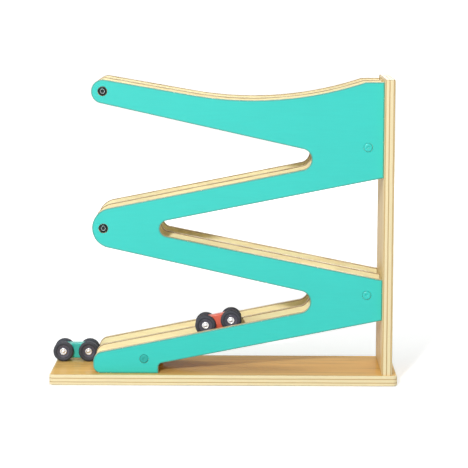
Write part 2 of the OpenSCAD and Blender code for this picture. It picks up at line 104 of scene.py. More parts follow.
class CarColours(bpy.types.PropertyGroup):
    """Colours of the two cars."""
    red: bpy.props.FloatVectorProperty(
        name="Red car", description="Paint of the car on the ramp",
        default=(0.90, 0.145, 0.075), size=3, min=0, max=1, subtype="COLOR")
    teal: bpy.props.FloatVectorProperty(
        name="Teal car", description="Paint of the car on the base board",
        default=(0.025, 0.55, 0.47), size=3, min=0, max=1, subtype="COLOR")
    tyre: bpy.props.FloatVectorProperty(
        name="Tyre", description="Rubber of the tyres",
        default=(0.028, 0.031, 0.043), size=3, min=0, max=1, subtype="COLOR")
    rim: bpy.props.FloatVectorProperty(
        name="Rim", description="Moulded plastic of the rims",
        default=(0.075, 0.072, 0.100), size=3, min=0, max=1, subtype="COLOR")


class StudioSettings(bpy.types.PropertyGroup):
    """Lamps and camera of the studio."""
    key_power: bpy.props.FloatProperty(
        name="Key lamp", description="Power of the lamp beside the camera, in watts",
        default=50.0, min=0, max=500)
    top_power: bpy.props.FloatProperty(
        name="Top lamp", description="Power of the wide lamp overhead, in watts",
        default=6.0, min=0, max=500)
    side_power: bpy.props.FloatProperty(
        name="Side lamp", description="Power of the wide lamp at the left, in watts",
        default=8.5, min=0, max=500)
    back_power: bpy.props.FloatProperty(
        name="Back lamp", description="Power of the wide lamp behind the toy, in watts",
        default=24.0, min=0, max=500)
    fill: bpy.props.FloatProperty(
        name="Fill", description="Strength of the even light from all round",
        default=0.25, min=0, max=2)
    lens: bpy.props.FloatProperty(
        name="Lens", description="Focal length of the camera, in millimetres",
        default=149.72, min=50, max=300)


# Outlines in a plane

LONGEST_CHORD = 4 * MM


def rounded(corners, step):
    """Closed outline through corners (x, y, radius): each corner becomes an arc that
    touches both of its sides, centre on the bisector at radius / sin(half the angle)."""
    corners = np.asarray(corners, float)
    points = []
    for i in range(len(corners)):
        here, radius = corners[i, :2], corners[i, 2]
        if radius == 0:
            points.append(here[None])
            continue
        a = corners[i - 1, :2] - here
        b = corners[(i + 1) % len(corners), :2] - here
        a, b = a / np.linalg.norm(a), b / np.linalg.norm(b)
        half = math.acos(np.clip(a @ b, -1, 1)) / 2
        centre = here + (a + b) / np.linalg.norm(a + b) * radius / math.sin(half)
        start = here + a * radius / math.tan(half) - centre
        turn = math.pi - 2 * half
        count = max(3, math.ceil(turn / step), math.ceil(radius * turn / LONGEST_CHORD))
        side = -1 if a[0] * b[1] - a[1] * b[0] > 0 else 1
        w = np.linspace(0, side * turn, count + 1)
        points.append(centre + np.stack([start[0] * np.cos(w) - start[1] * np.sin(w),
                                         start[0] * np.sin(w) + start[1] * np.cos(w)], 1))
    return np.concatenate(points)


def inset(path, distance):
    """The closed path moved inwards by distance along each point's mitre (the path runs
    anticlockwise): mean of the two side normals, stretched by one over its cosine."""
    before, after = path - np.roll(path, 1, 0), np.roll(path, -1, 0) - path
    before /= np.linalg.norm(before, axis=1)[:, None]
    after /= np.linalg.norm(after, axis=1)[:, None]
    side = np.stack([-after[:, 1], after[:, 0]], 1)
    mitre = np.stack([-(before + after)[:, 1], (before + after)[:, 0]], 1)
    mitre /= np.linalg.norm(mitre, axis=1)[:, None]
    return path + mitre * (distance / np.maximum(0.5, (mitre * side).sum(1)))[:, None]


def circle(centre, radius):
    """Anticlockwise circle of 40 points: centre + radius (cos w, sin w)."""
    w = np.linspace(0, 2 * math.pi, 40, endpoint=False)
    return np.asarray(centre) + radius * np.stack([np.cos(w), np.sin(w)], 1)


def tan_deg(angle):
    """Tangent of an angle in degrees."""
    return math.tan(math.radians(angle))


def level(edge, x):
    """Height at x of a straight edge given as (height at x = 0, slope in degrees)."""
    return edge[0] + x * tan_deg(edge[1])


def crossing(e, f, radius):
    """Corner where two straight edges meet, with the radius of its arc."""
    x = (f[0] - e[0]) / (tan_deg(e[1]) - tan_deg(f[1]))
    return (x, level(e, x), radius)


# Places on the zigzag: the base board's top, the post's face, the left ends of the top arm and
# the foot, the foot's right end, the nose bolts, and where the top is flat beside the post.
BASE_TOP_MM = 12.0
POST_MM = 182.0
LEFT_MM = -149.8
FOOT_MM = -74.8
NOSE_BOLT_MM = -137.0
FLAT_START_MM, FLAT_MM = 161.0, 347.5
# The arms' straight edges, as (height at mid length, slope in degrees).
ARM_1_UNDER = (292.0, -12.6)
ARM_2_OVER, ARM_2_UNDER = (229.6, 11.4), (202.4, 11.3)
ARM_3_OVER, ARM_3_UNDER = (158.0, -11.4), (128.6, -12.6)
ARM_4_OVER, ARM_4_UNDER = (65.3, 11.4), (38.2, 11.3)
# The top arm's upper edge: its height at the nose bolt, and its slopes down to the swoop and up
# from it.
START_MM = level(ARM_1_UNDER, NOSE_BOLT_MM) + 27.4
DOWN, UP = -9.8, 17.7
ARM_1_OVER = (START_MM - NOSE_BOLT_MM * tan_deg(DOWN), DOWN)
ARM_1_RISE = (FLAT_MM - FLAT_START_MM * tan_deg(UP), UP)
# Fasteners in the panels, as (x, z).
BARREL_NUTS_MM = ((164.2, 273.7), (164.2, 104.0), (-91.2, 29.1))
NOSE_BOLTS_MM = ((NOSE_BOLT_MM, 336.7), (NOSE_BOLT_MM, 180.3))


def zigzag(step):
    """The zigzag panel's outline in X and Z, anticlockwise, in metres."""
    corners = [
        (POST_MM, FLAT_MM, 0), (FLAT_START_MM, FLAT_MM, 8),
        crossing(ARM_1_OVER, ARM_1_RISE, 405),
        (LEFT_MM, level(ARM_1_OVER, LEFT_MM), 13), (LEFT_MM, level(ARM_1_UNDER, LEFT_MM), 13),
        crossing(ARM_1_UNDER, ARM_2_OVER, 12.2), crossing(ARM_2_OVER, ARM_3_UNDER, 23),
        crossing(ARM_3_UNDER, ARM_4_OVER, 12.9),
        (LEFT_MM, level(ARM_4_OVER, LEFT_MM), 12), (LEFT_MM, BASE_TOP_MM, 9),
        (FOOT_MM, BASE_TOP_MM, 0), (FOOT_MM, level(ARM_4_UNDER, FOOT_MM), 5),
        (POST_MM, level(ARM_4_UNDER, POST_MM), 0), (POST_MM, level(ARM_3_OVER, POST_MM), 0),
        crossing(ARM_3_OVER, ARM_2_UNDER, 9.3), (POST_MM, level(ARM_2_UNDER, POST_MM), 0),
    ]
    return rounded(np.array(corners) * MM, step)


# Meshes

def new_piece(name, co, faces, slots=None, materials=(), normals=None, attributes=None):
    """Makes an object from points and faces, at the origin and unturned. normals gives one
    for each corner of each face, in order."""
    mesh = bpy.data.meshes.new(name)
    mesh.from_pydata(np.asarray(co, float).tolist(), [], [list(map(int, f)) for f in faces])
    for material in materials:
        mesh.materials.append(material)
    if slots is not None:
        mesh.polygons.foreach_set("material_index", np.asarray(slots, np.int32))
    mesh.polygons.foreach_set("use_smooth", np.ones(len(mesh.polygons), bool))
    for key, values in (attributes or {}).items():
        layer = mesh.attributes.new(key, "FLOAT", "POINT")
        layer.data.foreach_set("value", np.asarray(values, np.float32))
    mesh.update()
    if normals is not None:
        mesh.normals_split_custom_set(np.asarray(normals, float).tolist())
    piece = bpy.data.objects.new(name, mesh)
    bpy.context.scene.collection.objects.link(piece)
    return piece


def grid_faces(rows, columns):
    """Quads between successive rows of points, each row running round the piece."""
    i, j = np.meshgrid(np.arange(rows - 1), np.arange(columns), indexing="ij")
    k = (j + 1) % columns
    return np.stack([i * columns + j, i * columns + k,
                     (i + 1) * columns + k, (i + 1) * columns + j], -1).reshape(-1, 4)


def flat_fill(rings):
    """Triangles that fill the first closed ring and leave out the others."""
    points = np.concatenate(rings)
    starts = np.cumsum([0] + [len(r) for r in rings])
    loops = [list(range(starts[k], starts[k + 1])) for k in range(len(rings))]
    loops = [loops[0]] + [loop[::-1] for loop in loops[1:]]
    edges = [(loop[k], loop[(k + 1) % len(loop)]) for loop in loops for k in range(len(loop))]
    out = delaunay_2d_cdt([Vector(p) for p in points], edges, [], 0, 1e-9)
    origin = np.array([o[0] for o in out[3]])
    tri = origin[np.array(out[2])]
    centre = points[tri].mean(1)
    keep = np.ones(len(tri), bool)
    for k, ring in enumerate(rings):
        inside = in_ring(centre, ring)
        keep &= inside if k == 0 else ~inside
    tri = tri[keep]
    a, b, c = (points[tri[:, k]] for k in range(3))
    area = (b[:, 0] - a[:, 0]) * (c[:, 1] - a[:, 1]) - (b[:, 1] - a[:, 1]) * (c[:, 0] - a[:, 0])
    tri[area < 0] = tri[area < 0][:, ::-1]
    return tri[np.abs(area) > 1e-14]


def in_ring(points, ring):
    """Even-odd test: how many sides of the ring a ray along +x from each point crosses."""
    a, b = ring, np.roll(ring, -1, 0)
    y = points[:, 1][:, None]
    cross = (a[:, 1] > y) != (b[:, 1] > y)
    with np.errstate(divide="ignore", invalid="ignore"):
        x = (b[:, 0] - a[:, 0]) * (y - a[:, 1]) / (b[:, 1] - a[:, 1]) + a[:, 0]
    return (cross & (points[:, 0][:, None] < x)).sum(1) % 2 == 1


ROLL_STEPS = 6


def rolled_side(path, thickness, rim, edge, painted):
    """The side of a board, from a strip of the lower face over both rolls to a strip of the
    upper face: points path - edge (1 - cos w) at height edge (1 - sin w), with normals
    (cos w, sin w). Gives the points, how far each lies out on the rim, where paint wears and
    painted shade darkens it, and the faces with their corners' normals and their materials."""
    n = len(path)
    w = np.linspace(math.pi / 2, 0, ROLL_STEPS + 1)
    back = w[::-1]
    drawn = np.concatenate([[edge + rim], edge * (1 - np.cos(w)), edge * (1 - np.cos(back)),
                            [edge + rim]])
    height = np.concatenate([[0], edge * (1 - np.sin(w)), thickness - edge * (1 - np.sin(back)),
                             [thickness]])
    out = np.concatenate([[0], np.cos(w), np.cos(back), [0]])
    up = np.concatenate([[-1], -np.sin(w), np.sin(back), [1]])
    rows = len(drawn)
    co = np.concatenate([np.column_stack([inset(path, d), np.full(n, h)])
                         for d, h in zip(drawn, height)])
    wear_and_rim_shade = np.concatenate([[0], np.ones(rows - 2), [0]]).repeat(n)
    left, right = side_normals(path)
    corner = [(0, left), (0, right), (1, right), (1, left)]
    normals = np.stack([
        np.concatenate([out[k:rows - 1 + k, None, None] * side[None],
                        np.broadcast_to(up[k:rows - 1 + k, None, None], (rows - 1, n, 1))], 2)
        for k, side in corner], 2).reshape(-1, 4, 3)
    strip = np.full((rows - 1, n), 2)
    strip[:1 + painted[0]] = 0
    strip[rows - 2 - painted[1]:] = 1
    return co, wear_and_rim_shade, (grid_faces(rows, n), normals, strip.ravel())


def blind_hole(hole, z, top, first):
    """Wall and floor of a blind hole in a face at height z. top numbers the points of its
    mouth, and its floor's points are numbered from first. Gives the floor's points and two
    blocks of faces with their corners' normals and their materials."""
    x, y, radius, depth, face = hole
    sign, ring = 2 * face - 1, circle((x, y), radius)
    m = len(ring)
    low = first + np.arange(m)
    inward = np.column_stack([(np.array((x, y)) - ring) / radius, np.zeros(m)])
    after = np.roll(inward, -1, 0)
    wall = np.stack([top, low, np.roll(low, -1), np.roll(top, -1)], 1)
    bend = np.stack([inward, inward, after, after], 1)
    floor, lid = low[None], np.broadcast_to((0.0, 0.0, sign), (1, m, 3))
    if face:
        wall, bend = wall[:, ::-1], bend[:, ::-1]
    else:
        floor = floor[:, ::-1]
    return (np.column_stack([ring, np.full(m, z - sign * depth)]),
            [(wall, bend, np.full(m, 2)), (floor, lid, np.full(1, 2))])


def board(name, path, thickness, place, materials, rim, edge, pockets=(), painted=(0, 0)):
    """A board cut to a closed path: its edge rolls over by a quarter circle at both faces.
    pockets are round blind holes (x, y, radius, depth, face) with face 0 below and 1 above.
    place turns the board's (x, y, height) rows into points of the frame. materials are the
    lower face's, the upper face's and the edge's; painted says over how many of the roll's
    steps each face's material reaches."""
    co, wear_and_rim_shade, side = rolled_side(path, thickness, rim, edge, painted)
    blocks = [side]
    ends = np.arange(len(path)), np.arange(len(co) - len(path), len(co))
    for face in (0, 1):
        z = thickness * face
        holes = [p for p in pockets if p[4] == face]
        mouths = [circle(p[:2], p[2]) for p in holes]
        tri = flat_fill([inset(path, edge + rim)] + mouths)
        first = len(co)
        co = np.concatenate([co] + [np.column_stack([m, np.full(len(m), z)]) for m in mouths])
        index = np.concatenate([ends[face], np.arange(first, len(co))])
        tri = index[tri if face else tri[:, ::-1]]
        flat = np.broadcast_to((0.0, 0.0, 2 * face - 1), (len(tri), 3, 3))
        blocks.append((tri, flat, np.full(len(tri), face)))
        for hole, mouth in zip(holes, mouths):
            floor, faces = blind_hole(hole, z, first + np.arange(len(mouth)), len(co))
            first += len(mouth)
            co = np.concatenate([co, floor])
            blocks += faces
    wear_and_rim_shade = np.concatenate([wear_and_rim_shade, np.zeros(len(co) - len(wear_and_rim_shade))])
    origin = place(np.zeros((1, 3)))
    turned_over = np.linalg.det(place(np.eye(3)) - origin) < 0
    step = -1 if turned_over else 1
    faces = [f[::step] for block, _, _ in blocks for f in block]
    normals = np.concatenate([b[:, ::step].reshape(-1, 3) for _, b, _ in blocks])
    slots = np.concatenate([slot for _, _, slot in blocks])
    return new_piece(name, place(co), faces, slots, materials, place(normals) - origin,
                     {"wear_and_rim_shade": wear_and_rim_shade})


def side_normals(path):
    """Outward normals at the two ends of each side of a closed path: shared with the next
    side where the path turns by less than 20 degrees, and the side's own at a corner."""
    along = np.roll(path, -1, 0) - path
    along /= np.linalg.norm(along, axis=1)[:, None]
    own = np.column_stack([along[:, 1], -along[:, 0]])
    shared = own + np.roll(own, 1, 0)
    shared /= np.linalg.norm(shared, axis=1)[:, None]
    smooth = (own * np.roll(own, 1, 0)).sum(1) > math.cos(math.radians(20))
    left = np.where(smooth[:, None], shared, own)
    right = np.where(np.roll(smooth, -1)[:, None], np.roll(shared, -1, 0), own)
    return left, right


def merge(piece):
    """Joins points less than a micron apart, such as a pole or a closed profile's seam, and
    turns every face outwards."""
    distance = 1e-6
    shell = bmesh.new()
    shell.from_mesh(piece.data)
    bmesh.ops.remove_doubles(shell, verts=shell.verts, dist=distance)
    bmesh.ops.dissolve_degenerate(shell, edges=shell.edges, dist=distance)
    bmesh.ops.recalc_face_normals(shell, faces=shell.faces)
    shell.to_mesh(piece.data)
    shell.free()


def face_centres(piece):
    """Middles of a piece's faces, a row each."""
    centre = np.zeros(len(piece.data.polygons) * 3)
    piece.data.polygons.foreach_get("center", centre)
    return centre.reshape(-1, 3)


def settle(piece, body, node, slot):
    """The piece rides on its body and stands for its CAD node."""
    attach(piece, body)
    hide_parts(node)


def recolour_rings(piece, material, axis, rings):
    """Gives a second material to the faces in rings (inner, outer radius) round an axis
    along Y through (x, z)."""
    piece.data.materials.append(material)
    r = np.linalg.norm(face_centres(piece)[:, [0, 2]] - axis, axis=1)
    chosen = sum(((r > inner) & (r < outer)).astype(np.int32) for inner, outer in rings)
    piece.data.polygons.foreach_set("material_index", chosen)


def dress(node, material):
    """Gives a CAD node its material and leaves its shape alone."""
    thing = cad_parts[node]
    thing.data.materials.clear()
    thing.data.materials.append(material)


# Materials

class Nodes:
    """Short names for building the node tree of a new material or world."""

    def __init__(self, name, kind="materials", shader="Principled BSDF"):
        self.owner = getattr(bpy.data, kind).new(name)
        self.owner.use_nodes = True
        self.tree = self.owner.node_tree
        self.shader = self.tree.nodes[shader]

    def add(self, kind, **values):
        """A new node with some of its properties set."""
        node = self.tree.nodes.new(kind)
        for key, value in values.items():
            setattr(node, key, value)
        return node

    def link(self, a, b):
        """Joins an output to an input."""
        self.tree.links.new(a, b)

    def give(self, socket, value):
        """Sets an input to a number or a colour, or links an output to it."""
        if isinstance(value, (int, float)):
            socket.default_value = value
        elif hasattr(value, "__len__"):
            socket.default_value = (*value[:3], 1)
        else:
            self.link(value, socket)

    def mapped(self, vector, scale=(1, 1, 1), turn=(0, 0, 0)):
        """A vector turned by some angles and stretched."""
        mapping = self.add("ShaderNodeMapping")
        mapping.inputs["Scale"].default_value = scale
        mapping.inputs["Rotation"].default_value = turn
        self.link(vector, mapping.inputs["Vector"])
        return mapping.outputs[0]

    def position(self, turn=(0, 0, 0)):
        """Place on the piece, in metres."""
        return self.mapped(self.add("ShaderNodeTexCoord").outputs["Object"], turn=turn)

    def noise(self, vector, scale, detail=4.0, roughness=0.55, distortion=0.0):
        """Cloudy noise from about 0.2 to 0.8."""
        node = self.add("ShaderNodeTexNoise")
        self.link(vector, node.inputs["Vector"])
        for key, value in (("Scale", scale), ("Detail", detail), ("Roughness", roughness),
                           ("Distortion", distortion)):
            node.inputs[key].default_value = value
        return node.outputs["Fac"]

    def ramp(self, value, stops):
        """Straight steps through stops of a place and a colour or a grey."""
        node = self.add("ShaderNodeValToRGB")
        elements = node.color_ramp.elements
        while len(elements) < len(stops):
            elements.new(0.5)
        for element, (place, colour) in zip(elements, stops):
            element.position = place
            rgb = colour[:3] if hasattr(colour, "__len__") else (colour,) * 3
            element.color = (*rgb, 1)
        self.link(value, node.inputs[0])
        return node.outputs[0]

    def math(self, operation, *values):
        """Arithmetic on outputs or numbers."""
        node = self.add("ShaderNodeMath", operation=operation)
        for socket, value in zip(node.inputs, values):
            self.give(socket, value)
        return node.outputs[0]

    def mix(self, factor, a, b):
        """Colour a where factor is zero and b where it is one."""
        node = self.add("ShaderNodeMix", data_type="RGBA")
        for place, value in ((0, factor), (6, a), (7, b)):
            self.give(node.inputs[place], value)
        return node.outputs[2]

    def veil(self, base, colour, value, start, end, share):
        """Lays a colour over base: none of it where value is start, up to a share at end."""
        return self.mix(self.ramp(value, [(start, 0.0), (end, share)]), base, colour)

    def seen(self):
        """One where a camera, glossy or transmission ray arrives, and zero elsewhere."""
        path = self.add("ShaderNodeLightPath").outputs
        return self.math("MAXIMUM", path["Is Camera Ray"],
                         self.math("MAXIMUM", path["Is Glossy Ray"], path["Is Transmission Ray"]))

    def bump(self, height, strength, distance):
        """Relief of some depth in metres on the shader's normal."""
        node = self.add("ShaderNodeBump")
        node.inputs["Strength"].default_value = strength
        node.inputs["Distance"].default_value = distance
        self.link(height, node.inputs["Height"])
        self.link(node.outputs[0], self.shader.inputs["Normal"])

    def set(self, **values):
        """Sets or links the shader's sockets, each named with _ for a space."""
        for key, value in values.items():
            self.give(self.shader.inputs[key.replace("_", " ")], value)


def tint(colour, factor):
    """A colour made lighter or darker, no brighter than one."""
    return tuple(min(1.0, c * factor) for c in colour)


# Light and dark streaks of the post's and the panels' veneer, and painted shade on the paint's
# rolled rims.
POST_WOOD = (0.92, 0.72, 0.37), (0.80, 0.58, 0.26)
PANEL_WOOD = (1.0, 0.92, 0.58), (0.95, 0.83, 0.50)
# Dark green of the painted shade on the paint's rims.
RIM_SHADE = (0.07, 0.24, 0.17)


def veneer(name, light, dark, turn=(0, 0, 0), roughness=0.48, gloss=0.4, depth=0.36):
    """Face veneer: long wavering grain lines along the board, fine fibres and small pores."""
    n = Nodes(name)
    where = n.position(turn)
    broad = n.noise(n.mapped(where, (3.5, 42, 42)), 2.1, 5, 0.6, 0.9)
    fine = n.noise(n.mapped(where, (14, 520, 520)), 1.4, 3, 0.65)
    cloud = n.noise(where, 9.0, 2, 0.5)
    base = n.ramp(broad, [(0.30, tint(light, 1.05)), (0.48, light), (0.60, dark),
                          (0.72, tint(light, 0.95))])
    shade = n.veil(base, tint(dark, 0.72), fine, 0.36, 0.74, depth)
    shade = n.veil(shade, tint(dark, 0.9), cloud, 0.35, 0.75, 0.16)
    n.set(Base_Color=shade, Specular_IOR_Level=gloss,
          Roughness=n.ramp(fine, [(0.2, roughness - 0.06), (0.8, roughness + 0.1)]))
    n.bump(fine, 0.22, 0.00012)
    return n.owner


# Brown lines across an edge, as (middle, half width) in shares of its thickness, and the
# share over which each fades out at its sides. The panels' outer two lines lie at the rims.
BOARD_LINES = ((0.31, 0.018), (0.67, 0.018))
POST_LINES = ((0.085, 0.03), (0.45, 0.03), (0.86, 0.03))
# The panels' outer lines draw dark brown outlines along both rims.
PANEL_LINES = ((0.045, 0.045), (0.5, 0.02), (0.955, 0.045))
FADE = 0.037


def ply_edge(name, axis, low, thickness, light, dark, lines=BOARD_LINES, turn=(0, 0, 0)):
    """Sawn plywood edge: light plies across the thickness along an axis, thin brown cross
    plies that fade out at both sides, and small open pores."""
    n = Nodes(name)
    where = n.position(turn)
    split = n.add("ShaderNodeSeparateXYZ")
    n.link(where, split.inputs[0])
    wave = n.noise(where, 38, 2, 0.5)
    across = n.math("MULTIPLY_ADD", n.math("SUBTRACT", wave, 0.5), 0.0005,
                    split.outputs["XYZ".index(axis)])
    part = n.math("DIVIDE", n.math("SUBTRACT", across, low), thickness)
    stops = [(0.0, tint(light, 0.93))]
    for k, (line, half) in enumerate(lines):
        stops += [(max(0.0, line - half - FADE), tint(light, 1.0 - 0.05 * k)),
                  (line - half, dark), (line + half, dark),
                  (min(1.0, line + half + FADE), tint(light, 0.95))]
    stops.append((1.0, light))
    layers = n.ramp(part, stops)
    pores = n.noise(where, 1900, 2, 0.7)
    layers = n.veil(layers, tint(dark, 0.8), pores, 0.54, 0.78, 0.35)
    drift = n.noise(where, 60, 3, 0.6)
    layers = n.veil(layers, tint(light, 0.78), drift, 0.35, 0.7, 0.16)
    n.set(Base_Color=layers, Roughness=0.5, Specular_IOR_Level=0.5)
    n.bump(pores, 0.25, 0.0001)
    return n.owner


def sprayed_paint(name, colour, bare, worn_at=0.62, rim_shade=0.0):
    """Sprayed paint on fine wood: a slight orange peel, the grain showing faintly through
    it, thin spots and small chips along the rim, where the rim attribute rises to one, and
    there painted shade that darkens the paint. A higher worn_at leaves fewer chips."""
    n = Nodes(name)
    where = n.position()
    peel = n.noise(where, 700, 2, 0.5)
    grain = n.noise(n.mapped(where, (5, 60, 60)), 7, 5, 0.65, 0.4)
    cloud = n.noise(where, 14, 3, 0.5)
    paint = n.veil(colour, tint(colour, 0.80), grain, 0.35, 0.75, 0.22)
    paint = n.veil(paint, tint(colour, 1.14), cloud, 0.35, 0.7, 0.16)
    wear_and_rim_shade = n.add("ShaderNodeAttribute", attribute_name="wear_and_rim_shade")
    # Painted shade: over the rolled rim the paint is mixed towards a dark green, by the given
    # strength.
    paint = n.mix(n.math("MULTIPLY", wear_and_rim_shade.outputs["Fac"], rim_shade), paint, RIM_SHADE)
    chips = n.noise(where, 420, 4, 0.7)
    spread = n.math("MULTIPLY", n.math("SUBTRACT", chips, 0.5), 1.7)
    edge = n.math("MULTIPLY_ADD", wear_and_rim_shade.outputs["Fac"], 0.5, spread)
    bared = n.ramp(edge, [(worn_at + 0.10, 0.0), (worn_at + 0.16, 1.0)])
    n.set(Base_Color=n.mix(bared, paint, bare), Coat_Weight=0.12, Coat_Roughness=0.2,
          Roughness=n.ramp(peel, [(0.2, 0.28), (0.8, 0.40)]))
    n.bump(n.math("ADD", n.math("MULTIPLY", peel, 0.4), grain), 0.16, 0.0002)
    return n.owner


def steel(name, colour, roughness, metallic=1.0):
    """Turned and plated steel: fine tool marks and small dull specks."""
    n = Nodes(name)
    where = n.position()
    marks = n.noise(where, 900, 3, 0.6)
    specks = n.noise(where, 240, 4, 0.7)
    shade = n.veil(colour, tint(colour, 0.6), specks, 0.5, 0.75, 0.35)
    n.set(Base_Color=shade, Metallic=metallic,
          Roughness=n.ramp(marks, [(0.25, roughness - 0.05), (0.8, roughness + 0.12)]))
    n.bump(marks, 0.12, 0.00006)
    return n.owner


def moulded(name, colour, roughness, coat=0.0):
    """Moulded plastic or rubber: spark-eroded fine texture, with lighter dusty patches."""
    n = Nodes(name)
    where = n.position()
    skin = n.noise(where, 1500, 3, 0.6)
    dust = n.noise(where, 130, 4, 0.65)
    shade = n.veil(colour, tint(colour, 1.9), dust, 0.42, 0.8, 0.30)
    n.set(Base_Color=shade, Coat_Weight=coat, Coat_Roughness=0.15,
          Roughness=n.ramp(skin, [(0.2, roughness - 0.06), (0.8, roughness + 0.1)]))
    n.bump(skin, 0.2, 0.00008)
    return n.owner


# Pieces of the track

PANEL_Y_MM = {"front_panel": -45.5, "middle_panel": 0.0, "back_panel": 45.5}
PANEL_MM = 8.0
TRACK_HALF_MM = 49.5
LANE_Y_MM = (-22.75, 22.75)
LANE_WIDTH_MM = 37.5
BASE_CORNER_MM = 6.0
POST_CORNER_MM = 3.5
# Radius and depth of the counterbores for the bolts and screws, and where the screws stand.
COUNTERBORE_MM = (4.1, 3.4)
SCREWS_MM = [(188, y) for y in (-36, 0, 36)]
# Depths of the pockets over the barrel nuts, at a panel's back and front.
POCKET_RADIUS_MM = 5.2
POCKETS_MM = {"front_panel": (0.6, 1.5), "middle_panel": (1.6, 0.6), "back_panel": (1.5, 0.6)}
# Radius and depth of the counterbores for the nose bolts' heads and nuts.
NOSE_BORE_MM = (5.6, 2.3)
# How far the caps over the barrel nuts stand out.
PLUG_PROUD_MM = 0.3
# How many of the roll's steps the panels' paint covers.
PAINTED_STEPS = 4


def bore(x, y, size, face):
    """A blind hole for board, from sizes in millimetres."""
    return (x * MM, y * MM, size[0] * MM, size[1] * MM, face)


def upright(back):
    """Rows (x, z, height) of a board that stands on edge, its height towards the front."""
    return lambda p: np.column_stack([p[:, 0], back - p[:, 2], p[:, 1]])


class TRACK_OT_base_board(bpy.types.Operator):
    """Lacquered plywood base board with rounded corners and bolt holes underneath"""
    bl_idname = "track.base_board"
    bl_label = "Base board"

    def execute(self, context):
        sizes, colours = context.scene.track_sizes, context.scene.track_colours
        low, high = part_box("base_board")
        path = rounded([(x, y, BASE_CORNER_MM * MM) for x, y in
                        ((high.x, high.y), (low.x, high.y), (low.x, low.y), (high.x, low.y))],
                       sizes.arc_step)
        foot = BARREL_NUTS_MM[2][0]
        holes = [bore(x, y, COUNTERBORE_MM, 0)
                 for x, y in [(foot, y) for y in PANEL_Y_MM.values()] + SCREWS_MM]
        face = veneer("lacquered veneer", colours.lacquer, tint(colours.lacquer, 0.86),
                      roughness=0.08, gloss=0.006, depth=0.22)
        edge = ply_edge("base edge plies", "Z", low.z, high.z - low.z,
                        tint(colours.birch, 0.95), colours.glue)
        piece = board("base_board_skin", path, high.z - low.z, lambda p: p, [face, face, edge],
                      sizes.wear_and_shade_rim, sizes.edge_round, holes)
        settle(piece, "track", "base_board", "base_ply")
        return {"FINISHED"}


class TRACK_OT_end_post(bpy.types.Operator):
    """Upright plywood post that the panels butt against"""
    bl_idname = "track.end_post"
    bl_label = "End post"

    def execute(self, context):
        sizes, colours = context.scene.track_sizes, context.scene.track_colours
        low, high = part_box("end_post")
        corner = POST_CORNER_MM * MM
        path = rounded([(high.y, high.z, corner), (low.y, high.z, corner), (low.y, low.z, 0),
                        (high.y, low.z, 0)], sizes.arc_step)
        holes = [bore(y, z, COUNTERBORE_MM, 1)
                 for y in PANEL_Y_MM.values() for _, z in BARREL_NUTS_MM[:2]]
        face = veneer("post veneer", *POST_WOOD, turn=(0, math.pi / 2, 0))
        edge = ply_edge("post edge plies", "X", low.x, high.x - low.x,
                        tint(colours.birch, 0.97), colours.glue, POST_LINES)
        piece = board("end_post_skin", path, high.x - low.x,
                      lambda p: np.column_stack([low.x + p[:, 2], p[:, 0], p[:, 1]]),
                      [face, face, edge], sizes.wear_and_shade_rim, sizes.edge_round, holes)
        settle(piece, "track", "end_post", "post_ply")
        return {"FINISHED"}


class TRACK_OT_zigzag_panels(bpy.types.Operator):
    """The three zigzag panels: two with painted faces and a bare middle one"""
    bl_idname = "track.zigzag_panels"
    bl_label = "Zigzag panels"

    def execute(self, context):
        sizes, colours = context.scene.track_sizes, context.scene.track_colours
        path = zigzag(sizes.arc_step)
        # The panels' paint gets painted shade over its rolled rims.
        paint = sprayed_paint("panel paint", colours.teal, colours.birch, rim_shade=0.6)
        bare = veneer("panel veneer", *PANEL_WOOD, depth=0.2)
        for name, middle in PANEL_Y_MM.items():
            front, back = (middle - PANEL_MM / 2) * MM, (middle + PANEL_MM / 2) * MM
            holes = [bore(x, z, (POCKET_RADIUS_MM, depth), side) for x, z in BARREL_NUTS_MM
                     for side, depth in enumerate(POCKETS_MM[name])]
            outer = [name == "back_panel", name == "front_panel"]
            if any(outer):
                holes += [bore(x, z, NOSE_BORE_MM, outer.index(True)) for x, z in NOSE_BOLTS_MM]
            # The panels' lines are a darker brown than the other boards'.
            edge = ply_edge(name.replace("_", " ") + " edge plies", "Y", front, back - front,
                            tint(colours.birch, 0.92), tint(colours.glue, 0.75), PANEL_LINES)
            faces = [paint if sprayed else bare for sprayed in outer] + [edge]
            painted = [PAINTED_STEPS if sprayed else 0 for sprayed in outer]
            piece = board(name + "_skin", path, back - front, upright(back), faces,
                          sizes.wear_and_shade_rim, sizes.panel_round, holes, painted)
            settle(piece, "track", name, "bare_ply" if name == "middle_panel" else "teal_ply")
        return {"FINISHED"}


def lowered(edge, distance):
    """An edge moved square to itself by a distance."""
    return (edge[0] - distance / math.cos(math.radians(edge[1])), edge[1])


RAMP_MM = 6.0
TIP_MM = RAMP_MM / 2
RAMP_ROLL_MM = 0.3
# Radius of the spacers at the noses, and the gap between them and the ramps.
SPACER_MM = 7.0
SPACER_GAP_MM = 0.3
# The first ramp lies this high over the top arm's underside, and the others this deep under
# their arms' upper edges.
FIRST_RISE_MM = 17.5
RECESS_MM = 8.0
FLOORS = (lowered(ARM_1_UNDER, -FIRST_RISE_MM), lowered(ARM_2_OVER, RECESS_MM),
          lowered(ARM_3_OVER, RECESS_MM), lowered(ARM_4_OVER, RECESS_MM))
# Where each ramp is cut off upright and where the middle of its round tip lies: a tip leaves a
# gap for a car to drop through, and the last one stops just inside the foot's left end.
DROP_GAP_MM = 52.0
EXIT_MM = 3.8
START_X_MM = NOSE_BOLT_MM + SPACER_MM + SPACER_GAP_MM
RIGHT_TIP_MM = POST_MM - DROP_GAP_MM - TIP_MM
RAMP_ENDS_MM = ((START_X_MM, RIGHT_TIP_MM), (POST_MM, START_X_MM + DROP_GAP_MM + TIP_MM),
                (START_X_MM, RIGHT_TIP_MM), (POST_MM, LEFT_MM + EXIT_MM + TIP_MM))


